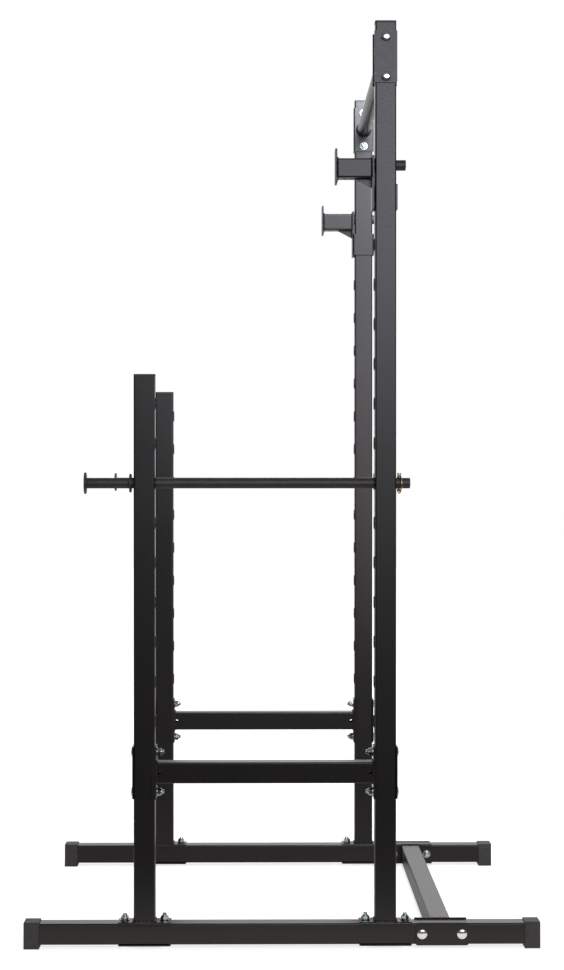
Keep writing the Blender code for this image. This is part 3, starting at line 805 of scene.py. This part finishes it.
def hook_gusset(plate_front, tube_bottom):
    """The triangle of plate in the corner under the hook's tube, with beads on both its faces."""
    tip = plate_front - GUSSET_LENGTH
    outline = [
        (plate_front + EDGE, tube_bottom + EDGE),
        (tip, tube_bottom + EDGE),
        (tip, tube_bottom - EDGE),
        (plate_front + EDGE, tube_bottom - GUSSET_DROP),
    ]
    plate = placed(extruded([outline], GUSSET_SHEET), Matrix.Rotation(math.pi / 2, 4, "X"))
    parts = [bevelled(plate, EDGE, segments=2)]
    for side in (-1, 1):
        y = side * GUSSET_SHEET / 2
        corner = (plate_front, y, tube_bottom)
        above = (tip + GUSSET_TIP_INSET, y, tube_bottom)
        below = (plate_front, y, tube_bottom - GUSSET_DROP + GUSSET_FOOT_INSET)
        for ends in ((above, corner), (corner, below)):
            parts.append(weld(ends, closed=False, radius=GUSSET_BEAD_RADIUS))
    return joined(*parts)


def hook_pin():
    """The hook's round pin, in the hook's own place."""
    end = TUBE + PIN_BEHIND
    start = HOOK_PLATE_BACK - HOOK_SHEET / 2
    profile = [
        (0, end),
        (PIN_RADIUS - PIN_CHAMFER, end),
        (PIN_RADIUS, end - PIN_CHAMFER),
        (PIN_RADIUS, start),
        (0, start),
    ]
    return placed(turned(profile, ROUND_STEPS), along_axis(AXIS_X))


def j_hook():
    """A J-hook about its pin's axis, with X zero at the upright's front face and its strap on +Y."""
    plate_front = HOOK_PLATE_BACK - HOOK_SHEET
    lip_back = plate_front - HOOK_TUBE_LENGTH
    tube_bottom = -HOOK_TUBE_DROP - HOOK_TUBE_HEIGHT / 2
    tube = square_tube(HOOK_TUBE_LENGTH, HOOK_TUBE_HEIGHT, TUBE)
    tube_place = Matrix.Translation(((plate_front + lip_back) / 2, 0, -HOOK_TUBE_DROP))
    beads = []
    for x, out in ((plate_front, -AXIS_X), (lip_back, AXIS_X)):
        place = frame_matrix(AXIS_Z, out.cross(AXIS_Z), out, (x, 0, -HOOK_TUBE_DROP))
        beads.append(weld_around(HOOK_TUBE_HEIGHT, TUBE, place))
    tube = placed(tube, tube_place @ Matrix.Rotation(math.pi / 2, 4, "Y"))
    vent_place = (lip_back + 4 * VENT_RADIUS, 0, tube_bottom)
    tube = combined(tube, "DIFFERENCE", shifted(drill(VENT_RADIUS, 2 * TUBE_WALL), *vent_place))
    ends = (STRAP_TOP - STRAP_BEAD_INSET, STRAP_BOTTOM + STRAP_BEAD_INSET)
    seam = [(HOOK_PLATE_BACK, HOOK_WIDTH / 2, height) for height in ends]
    return joined(
        hook_plate(plate_front, HOOK_PLATE_BACK, HOOK_PLATE_BOTTOM, HOOK_PLATE_TOP, HOOK_PLATE_CORNER),
        hook_plate(lip_back - HOOK_SHEET, lip_back, LIP_BOTTOM, LIP_TOP, LIP_CORNER),
        tube,
        hook_strap(plate_front),
        hook_gusset(plate_front, tube_bottom),
        weld(seam, closed=False, radius=STRAP_BEAD_RADIUS),
        *beads,
    )


def safety_bar():
    """A safety bar along X on its own axis, drilled for its lynch pin."""
    back = BAR_HIGH.x
    front = BAR_LOW.x
    disc_back = front + BAR_END_THICKNESS
    collar_back = FRONT_POST_X - HALF_TUBE - BAR_COLLAR_STANDOFF
    collar_front = collar_back - BAR_COLLAR_THICKNESS
    chamfer = BAR_CHAMFER
    fillet = BAR_FILLET
    profile = [
        (0, back),
        (BAR_RADIUS - chamfer, back),
        (BAR_RADIUS, back - chamfer),
        (BAR_RADIUS, collar_back),
        (BAR_COLLAR_RADIUS - EDGE, collar_back),
        (BAR_COLLAR_RADIUS, collar_back - EDGE),
        (BAR_COLLAR_RADIUS, collar_front + EDGE),
        (BAR_COLLAR_RADIUS - EDGE, collar_front),
        (BAR_RADIUS + fillet, collar_front),
        (BAR_RADIUS, collar_front - fillet),
        (BAR_RADIUS, disc_back + fillet),
        (BAR_RADIUS + fillet, disc_back),
        (BAR_END_RADIUS - chamfer, disc_back),
        (BAR_END_RADIUS - chamfer / 3, disc_back - chamfer / 3),
        (BAR_END_RADIUS, disc_back - chamfer),
        (BAR_END_RADIUS, front + chamfer),
        (BAR_END_RADIUS - chamfer / 3, front + chamfer / 3),
        (BAR_END_RADIUS - chamfer, front),
        (0, front),
    ]
    body = placed(turned(profile, ROUND_STEPS), along_axis(AXIS_X))
    hole = shifted(drill(LYNCH_HOLE_RADIUS, 2 * BAR_RADIUS), LYNCH_X, 0, 0)
    return combined(body, "DIFFERENCE", hole)


def lynch_pin():
    """The pin about the bar's axis, with a grooved head cross-drilled for the ring."""
    groove_at = LYNCH_HEAD_BOTTOM + LYNCH_GROOVE_RISE
    profile = [(0, LYNCH_HEAD_TOP)]
    profile += [(LYNCH_HEAD_RADIUS - inwards, LYNCH_HEAD_TOP - down) for inwards, down in LYNCH_HEAD_EDGE]
    profile += [
        (LYNCH_HEAD_RADIUS, groove_at + LYNCH_GROOVE),
        (LYNCH_HEAD_RADIUS - LYNCH_GROOVE, groove_at),
        (LYNCH_HEAD_RADIUS, groove_at - LYNCH_GROOVE),
        (LYNCH_HEAD_RADIUS, LYNCH_HEAD_BOTTOM + LYNCH_HEAD_CHAMFER),
        (LYNCH_HEAD_RADIUS - LYNCH_HEAD_CHAMFER, LYNCH_HEAD_BOTTOM),
        (LYNCH_RADIUS, LYNCH_HEAD_BOTTOM),
    ]
    profile += [(LYNCH_RADIUS - inwards, LYNCH_TIP + up) for inwards, up in LYNCH_TIP_EDGE]
    profile.append((0, LYNCH_TIP))
    through = along_axis(AXIS_Y, (0, 0, RING_HINGE_HEIGHT))
    hole = placed(drill(RING_HOLE_RADIUS, 2 * LYNCH_HEAD_RADIUS), through)
    return combined(turned(profile, ROUND_STEPS), "DIFFERENCE", hole)


def lynch_ring():
    """The bent wire ring about its own centre. It hangs a little twisted in the pin's head."""
    curve = bpy.data.curves.new("ring", "CURVE")
    curve.dimensions = "3D"
    curve.bevel_depth = RING_WIRE_RADIUS
    curve.bevel_resolution = RING_WIRE_STEPS
    add_loop(curve, [(0, y, z) for y, z in circle(RING_RADIUS, RING_STEPS)])
    return placed(evaluated_mesh(temporary(curve)), Matrix.Rotation(math.radians(RING_TWIST), 4, "Z"))


def new_shader(name):
    material = bpy.data.materials.new(name)
    material.use_nodes = True
    nodes = Nodes(material.node_tree)
    shader = material.node_tree.nodes["Principled BSDF"]
    place = nodes.add("ShaderNodeTexCoord").outputs["Object"]
    return material, nodes, shader, place


def varied(nodes, place, scale, detail, low, high):
    """A value that wanders between two limits over the surface."""
    noise = nodes.add("ShaderNodeTexNoise", {"Vector": place, "Scale": scale, "Detail": detail})
    return nodes.ranged(noise.outputs[0], NOISE_LOW, NOISE_HIGH, low, high)


def tinted(nodes, factor, first, second):
    mix = nodes.add("ShaderNodeMix", {0: factor}, data_type="RGBA")
    mix.inputs[6].default_value = (*first, 1)
    mix.inputs[7].default_value = (*second, 1)
    return mix.outputs[2]


def bumped(nodes, shader, place, layers):
    """Stacks bumps of different grain, each as (scale, depth in metres, strength)."""
    normal = None
    for scale, depth, strength in layers:
        grain = {"Vector": place, "Scale": scale, "Detail": GRAIN_DETAIL}
        height = nodes.add("ShaderNodeTexNoise", grain).outputs[0]
        bump = nodes.add("ShaderNodeBump", {"Strength": strength, "Distance": depth, "Height": height})
        if normal:
            nodes.tree.links.new(normal, bump.inputs["Normal"])
        normal = bump.outputs[0]
    nodes.tree.links.new(normal, shader.inputs["Normal"])


def surface_finish(name, uniform, colours, drift, roughness, bumps):
    """A finish whose colour and roughness wander over it.

    Noise is given by its scale and detail, and what is uniform goes straight onto the shader's sockets.
    """
    material, nodes, shader, place = new_shader(name)
    for socket, value in uniform.items():
        shader.inputs[socket].default_value = value
    colour = tinted(nodes, varied(nodes, place, **drift, low=0.0, high=1.0), *colours)
    nodes.tree.links.new(colour, shader.inputs["Base Color"])
    nodes.tree.links.new(varied(nodes, place, **roughness), shader.inputs["Roughness"])
    bumped(nodes, shader, place, bumps)
    return material


def powder_coat():
    """Satin black powder coat: orange peel, a fine grain and a little drift in colour and sheen."""
    return surface_finish(
        "satin black powder coat",
        uniform={"Specular Tint": WARM_SHEEN},
        colours=((0.0085, 0.0065, 0.0061), (0.0112, 0.0088, 0.0082)),
        drift={"scale": 7.0, "detail": 4.0},
        roughness={"scale": 160.0, "detail": 3.0, "low": 0.31, "high": 0.36},
        bumps=((420.0, 0.0001, 0.05), (1500.0, 0.0001, 0.10)),
    )


def matte_coat():
    """The duller black of the safety bars and the hooks' pins, with a fine grain."""
    return surface_finish(
        "matte black coat",
        uniform={"Specular Tint": WARM_SHEEN},
        colours=((0.050, 0.040, 0.036), (0.063, 0.052, 0.047)),
        drift={"scale": 40.0, "detail": 4.0},
        roughness={"scale": 200.0, "detail": 3.0, "low": 0.42, "high": 0.52},
        bumps=((420.0, 0.0001, 0.06), (1500.0, 0.0001, 0.12)),
    )


def black_plastic():
    """Matte moulded plastic with a spark-eroded grain."""
    return surface_finish(
        "matte black plastic",
        uniform={"Specular Tint": WARM_SHEEN},
        colours=((0.048, 0.041, 0.041), (0.064, 0.055, 0.054)),
        drift={"scale": 60.0, "detail": 3.0},
        roughness={"scale": 140.0, "detail": 2.0, "low": 0.50, "high": 0.64},
        bumps=((900.0, 0.0003, 0.25), (2600.0, 0.0001, 0.20)),
    )


def bright_zinc():
    """Bright zinc plating, slightly cloudy."""
    return surface_finish(
        "bright zinc plating",
        uniform={"Metallic": 1.0},
        colours=((0.70, 0.70, 0.66), (0.84, 0.84, 0.80)),
        drift={"scale": 90.0, "detail": 4.0},
        roughness={"scale": 260.0, "detail": 3.0, "low": 0.12, "high": 0.20},
        bumps=((700.0, 0.0001, 0.12),),
    )


def dull_zinc():
    """The greyer plating of the nuts and washers."""
    return surface_finish(
        "dull zinc plating",
        uniform={"Metallic": 1.0},
        colours=((0.40, 0.44, 0.44), (0.60, 0.65, 0.64)),
        drift={"scale": 120.0, "detail": 4.0},
        roughness={"scale": 300.0, "detail": 3.0, "low": 0.13, "high": 0.24},
        bumps=((700.0, 0.0001, 0.15),),
    )


def yellow_zinc():
    """Yellow passivated zinc on the locking pins and their rings."""
    return surface_finish(
        "yellow zinc plating",
        uniform={"Metallic": 1.0},
        colours=((0.70, 0.38, 0.16), (0.86, 0.56, 0.30)),
        drift={"scale": 70.0, "detail": 3.0},
        roughness={"scale": 300.0, "detail": 3.0, "low": 0.18, "high": 0.32},
        bumps=((900.0, 0.0001, 0.12),),
    )


POWDER = powder_coat()
MATTE = matte_coat()
PLASTIC = black_plastic()
ZINC = bright_zinc()
DULL_ZINC = dull_zinc()
GOLD = yellow_zinc()


def with_flat_faces(mesh):
    """Shades a mesh smooth, with its sharp edges kept and its large faces truly flat."""
    mesh.shade_smooth()
    mesh.set_sharp_from_angle(angle=math.radians(SMOOTH_ANGLE))
    obj = temporary(mesh)
    weighted = obj.modifiers.new("flat faces", "WEIGHTED_NORMAL")
    weighted.keep_sharp = True
    return applied(obj)


def add_piece(name, mesh, material, body, *replaced):
    """Shows a finished mesh in place of CAD nodes, moving with a body."""
    mesh.materials.clear()
    mesh.materials.append(material)
    mesh.polygons.foreach_set("material_index", [0] * len(mesh.polygons))
    obj = linked(name, with_flat_faces(mesh))
    obj.data.name = name
    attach(obj, body)
    if replaced:
        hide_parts(*replaced)


def add_skids():
    length = SKID_HIGH.x - SKID_LOW.x
    tube = placed(square_tube(length), along_axis(AXIS_X))
    cap = foot_cap()
    for side, sign in SIDES:
        y = sign * SIDE_Y
        add_piece(f"skid_tube_{side}", shifted(tube, 0, y, SKID_Z), POWDER, "frame", f"base_skid_{side}")
        for end, turn in (("front", math.pi), ("rear", 0)):
            place = Matrix.Translation((0, y, 0)) @ Matrix.Rotation(turn, 4, "Z")
            mesh = placed(cap, place @ Matrix.Translation((length / 2, 0, 0)))
            add_piece(f"foot_{end}_{side}", mesh, PLASTIC, "frame", f"foot_cap_{end}_{side}")


def add_posts():
    cap = post_cap()
    kinds = (
        ("tall_upright", UPRIGHT_X, HOOK_HOLE, -1),
        ("front_post", FRONT_POST_X, FRONT_TOP_HOLE, 1),
    )
    for kind, x, top_hole, rim_side in kinds:
        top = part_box(f"{kind}_left")[1].z
        mesh = post(top, top_hole - LOWEST_HOLE + 1, rim_side)
        for side, sign in SIDES:
            y = sign * SIDE_Y
            tube = shifted(mesh, x, y, 0)
            plug = shifted(cap, x, y, top)
            add_piece(f"{kind}_tube_{side}", tube, POWDER, "frame", f"{kind}_{side}")
            add_piece(f"{kind}_plug_{side}", plug, PLASTIC, "frame", f"{kind}_cap_{side}")


def add_beams():
    half_depth = (UPRIGHT_X - FRONT_POST_X - TUBE) / 2
    side_mesh = square_beam(half_depth, AXIS_X, AXIS_Z)
    middle_x = (UPRIGHT_X + FRONT_POST_X) / 2
    for side, sign in SIDES:
        mesh = shifted(side_mesh, middle_x, sign * SIDE_Y, SIDE_BEAM_Z)
        add_piece(f"side_rail_{side}", mesh, POWDER, "frame", f"side_beam_{side}")
    half_span = SIDE_Y - HALF_TUBE
    cross = shifted(square_beam(half_span, AXIS_Y, AXIS_X), CROSS_BEAM_X, 0, SKID_Z)
    add_piece("cross_rail", cross, POWDER, "frame", "rear_cross_beam")
    length = 2 * (half_span - GAP - SHEET)
    rings = [circle(PULL_UP_RADIUS, ROUND_STEPS), circle(PULL_UP_RADIUS - TUBE_WALL, ROUND_STEPS)]
    bead = weld([(x, y, BEAD_OFFSET) for x, y in circle(PULL_UP_RADIUS + BEAD_OFFSET, ROUND_STEPS)])
    tube = vented(extruded(rings, length), (PULL_UP_VENT_Y,), AXIS_X)
    bar = beam(tube, half_span, AXIS_Y, AXIS_Z, bead)
    add_piece("chin_up_tube", shifted(bar, UPRIGHT_X, 0, PULL_UP_Z), POWDER, "frame", "pull_up_bar")


def bolted_joints():
    """Every bolted joint: its name, the clamped tube's middle, two directions and its plate's CAD node.

    The first direction is the clamped tube's own and the second one the bolts'.
    """
    for side, sign in SIDES:
        inward = -sign * AXIS_Y
        joints = (
            ("front_post", FRONT_POST_X, SKID_Z, AXIS_X, AXIS_Z),
            ("tall_upright", UPRIGHT_X, SKID_Z, AXIS_X, AXIS_Z),
            ("side_beam_front", FRONT_POST_X, SIDE_BEAM_Z, AXIS_Z, AXIS_X),
            ("side_beam_rear", UPRIGHT_X, SIDE_BEAM_Z, AXIS_Z, -AXIS_X),
            ("cross_beam", CROSS_BEAM_X, SKID_Z, AXIS_X, inward),
            ("pull_up", UPRIGHT_X, PULL_UP_Z, AXIS_Z, inward),
        )
        for name, x, z, along, direction in joints:
            under_post = direction == AXIS_Z
            node = f"{name}_bolt_plate_{side}" if under_post else f"{name}_{side}_plate"
            yield f"{name}_{side}", Vector((x, sign * SIDE_Y, z)), along, direction, node


def points_with_directions(points, directions):
    mesh = bpy.data.meshes.new("points")
    mesh.from_pydata(points, [], [])
    attribute = mesh.attributes.new("direction", "FLOAT_VECTOR", "POINT")
    for item, direction in zip(attribute.data, directions):
        item.vector = direction
    return mesh


def scattered(shape, points, directions, seed):
    source = temporary(shape)
    values = {"Fastener": source, "Seed": seed}
    mesh = grown(FASTENERS, points_with_directions(points, directions), values)
    bpy.data.objects.remove(source)
    return mesh


def add_fasteners():
    plate = backing_plate(TUBE_CORNER)
    foot_plate = backing_plate(FOOT_PLATE_CORNER)
    seats = []
    directions = []
    for name, centre, along, direction, node in bolted_joints():
        seat = centre - PLATE_SEAT * direction
        place = frame_matrix(-along.cross(direction), along, -direction, seat)
        shape = foot_plate if direction == AXIS_Z else plate
        add_piece(f"{name}_backing", placed(shape, place), POWDER, "frame", node)
        for step in (-1, 1):
            seats.append(centre + step * BOLT_SPACING / 2 * along - HEAD_SEAT * direction)
            directions.append(direction)
    washer_seats = [seat + BOLT_GRIP * way for seat, way in zip(seats, directions)]
    nut_seats = [seat + WASHER_THICKNESS * way for seat, way in zip(washer_seats, directions)]
    loose_bolts = [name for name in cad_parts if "_bolt_" in name and "plate" not in name]
    bolts = scattered(bolt(), seats, directions, BOLT_SEED)
    add_piece("round_head_bolts", bolts, ZINC, "frame", *loose_bolts)
    washers = scattered(washer(), washer_seats, directions, WASHER_SEED)
    add_piece("washers", washers, DULL_ZINC, "frame")
    nuts = scattered(nut(), nut_seats, directions, NUT_SEED)
    add_piece("hex_nuts", nuts, DULL_ZINC, "frame")


def add_hooks_and_bars():
    hook = j_hook()
    peg = hook_pin()
    bar = safety_bar()
    pin = lynch_pin()
    ring = lynch_ring()
    ring_z = SAFETY_BAR_Z + RING_HINGE_HEIGHT - RING_RADIUS
    for side, sign in SIDES:
        y = sign * SIDE_Y
        mirror = Matrix.Scale(-sign, 4, AXIS_Y)
        hook_place = Matrix.Translation((UPRIGHT_X - HALF_TUBE, y, HOOK_Z)) @ mirror
        add_piece(f"hook_{side}", placed(hook, hook_place), POWDER, f"j_hook_{side}", f"j_hook_{side}")
        add_piece(f"hook_peg_{side}", placed(peg, hook_place), MATTE, f"j_hook_{side}")
        others = (
            ("spotter_bar", bar, 0, SAFETY_BAR_Z, MATTE, "safety_bar"),
            ("locking_pin", pin, LYNCH_X, SAFETY_BAR_Z, GOLD, "lynch_pin"),
            ("locking_ring", ring, LYNCH_X, ring_z, GOLD, "lynch_ring"),
        )
        for name, mesh, x, z, material, node in others:
            body = f"{node}_{side}"
            add_piece(f"{name}_{side}", shifted(mesh, x, y, z), material, body, body)


def seen_directly(nodes):
    """One for what the camera sees, and one for what a reflection sees."""
    path = nodes.add("ShaderNodeLightPath").outputs
    direct = nodes.maths("MAXIMUM", path["Is Camera Ray"], path["Is Transmission Ray"])
    return direct, path["Is Glossy Ray"]


def light_world():
    """A white studio, which reflections find bright low behind the rack and dim everywhere else."""
    world = bpy.data.worlds.new("studio")
    bpy.context.scene.world = world
    world.use_nodes = True
    world.node_tree.nodes.clear()
    nodes = Nodes(world.node_tree)
    direct, glossy = seen_directly(nodes)
    direction = nodes.add("ShaderNodeTexCoord").outputs["Generated"]
    split = nodes.add("ShaderNodeSeparateXYZ", {0: direction}).outputs
    behind = nodes.ranged(split["Y"], BACKDROP_START, BACKDROP_FULL, REFLECTED_FRONT, REFLECTED_BACKDROP)
    fade_end = BACKDROP_TOP + BACKDROP_FADE
    low = nodes.ranged(split["Z"], BACKDROP_TOP, fade_end, REFLECTED_BACKDROP, REFLECTED_FRONT)
    reflected = nodes.maths("MULTIPLY", glossy, nodes.maths("MINIMUM", behind, low))
    gathered = nodes.maths("MULTIPLY", nodes.maths("SUBTRACT", 1.0, glossy), AMBIENT)
    strength = nodes.maths("MAXIMUM", direct, nodes.maths("ADD", reflected, gathered))
    colour = tinted(nodes, nodes.maths("MAXIMUM", direct, glossy), AMBIENT_COLOUR, WHITE)
    background = nodes.add("ShaderNodeBackground", {"Color": colour, "Strength": strength})
    nodes.add("ShaderNodeOutputWorld", {0: background.outputs[0]})


def add_floor():
    """A pale floor that keeps the rack's shadow and is white to the camera elsewhere.

    Reflections find it bright just in front of the rack, dimmer further back and dark near the camera.
    """
    material = bpy.data.materials.new("pale floor")
    material.use_nodes = True
    material.node_tree.nodes.clear()
    nodes = Nodes(material.node_tree)
    direct, glossy = seen_directly(nodes)
    place = nodes.add("ShaderNodeTexCoord").outputs["Object"]
    split = nodes.add("ShaderNodeSeparateXYZ", {0: place}).outputs
    swept = nodes.ranged(split["Y"], -SWEEP_FRONT - SWEEP_FADE, -SWEEP_FRONT, 0.0, 1.0)
    brightness = nodes.ranged(
        split["Y"], -SIDE_Y - HALF_TUBE, -SIDE_Y, FLOOR_REFLECTED_FRONT, FLOOR_REFLECTED_INSIDE
    )
    mirrored = nodes.maths("MULTIPLY", nodes.maths("MULTIPLY", glossy, swept), brightness)
    seen = nodes.maths("MAXIMUM", direct, mirrored)
    pale = nodes.maths("MAXIMUM", direct, nodes.maths("MULTIPLY", swept, FLOOR_BOUNCE))
    shade = tinted(nodes, pale, FLOOR_DARK, FLOOR_PALE)
    diffuse = nodes.add("ShaderNodeBsdfDiffuse", {"Color": shade})
    away = nodes.add("ShaderNodeVectorMath", {0: place}, operation="LENGTH").outputs["Value"]
    lit = nodes.ranged(away, FLOOR_GLOW_NEAR, FLOOR_GLOW_FAR, FLOOR_GLOW, 1.0)
    strength = nodes.maths("MULTIPLY", seen, lit)
    glow = nodes.add("ShaderNodeEmission", {"Color": (*WHITE, 1), "Strength": strength})
    both = nodes.add("ShaderNodeAddShader", {0: diffuse.outputs[0], 1: glow.outputs[0]})
    nodes.add("ShaderNodeOutputMaterial", {0: both.outputs[0]})
    floor_mesh = bpy.data.meshes.new("floor")
    signs = ((-1, -1), (1, -1), (1, 1), (-1, 1))
    corners = [(x * FLOOR_HALF, y * FLOOR_HALF, 0) for x, y in signs]
    floor_mesh.from_pydata(corners, [], [(0, 1, 2, 3)])
    floor_mesh.materials.append(material)
    linked("floor", floor_mesh)


def add_softbox(name, place, target, size, power, colour):
    """A soft oval lamp, with its size in metres and its power in watts."""
    light = bpy.data.lights.new(name, "AREA")
    light.shape = "ELLIPSE"
    light.size, light.size_y = size
    light.energy = power
    light.color = colour
    obj = linked(name, light)
    obj.location = place
    obj.rotation_euler = (Vector(target) - Vector(place)).to_track_quat("-Z", "Y").to_euler()


def add_lights():
    """Each lamp has its place, its target, its width and height, its power and its colour."""
    lamps = {
        "front softbox": ((1.2, -6.0, 2.85), (0.2, -0.5, 1.9), (4.2, 2.4), 166, (0.755, 0.856, 1.0)),
        "inner softbox": ((0.45, -0.52, 2.75), (0.4, 0.6, 2.75), (1.2, 0.8), 66, (0.71, 0.866, 1.0)),
        "inner panel": ((0.55, -0.45, 1.65), (0.55, 0.6, 1.65), (1.0, 2.2), 6.0, (0.90, 0.93, 1.0)),
        "rear softbox": ((0.6, 5.2, 4.0), (0.1, 0.5, 1.3), (3.6, 2.2), 50, WHITE),
    }
    for name, settings in lamps.items():
        add_softbox(name, *settings)


def add_camera():
    camera = bpy.data.cameras.new("camera")
    camera.sensor_fit = "HORIZONTAL"
    camera.sensor_width = SENSOR_WIDTH
    camera.lens = FOCAL_PIXELS * SENSOR_WIDTH / PICTURE_WIDTH
    obj = linked("camera", camera)
    obj.location = CAMERA_PLACE
    obj.rotation_euler = (math.radians(90 - CAMERA_PITCH), 0, math.radians(-CAMERA_YAW))
    bpy.context.scene.camera = obj


add_skids()
add_posts()
add_beams()
add_fasteners()
add_hooks_and_bars()
light_world()
add_floor()
add_lights()
add_camera()
bpy.context.scene.view_settings.view_transform = "Standard"
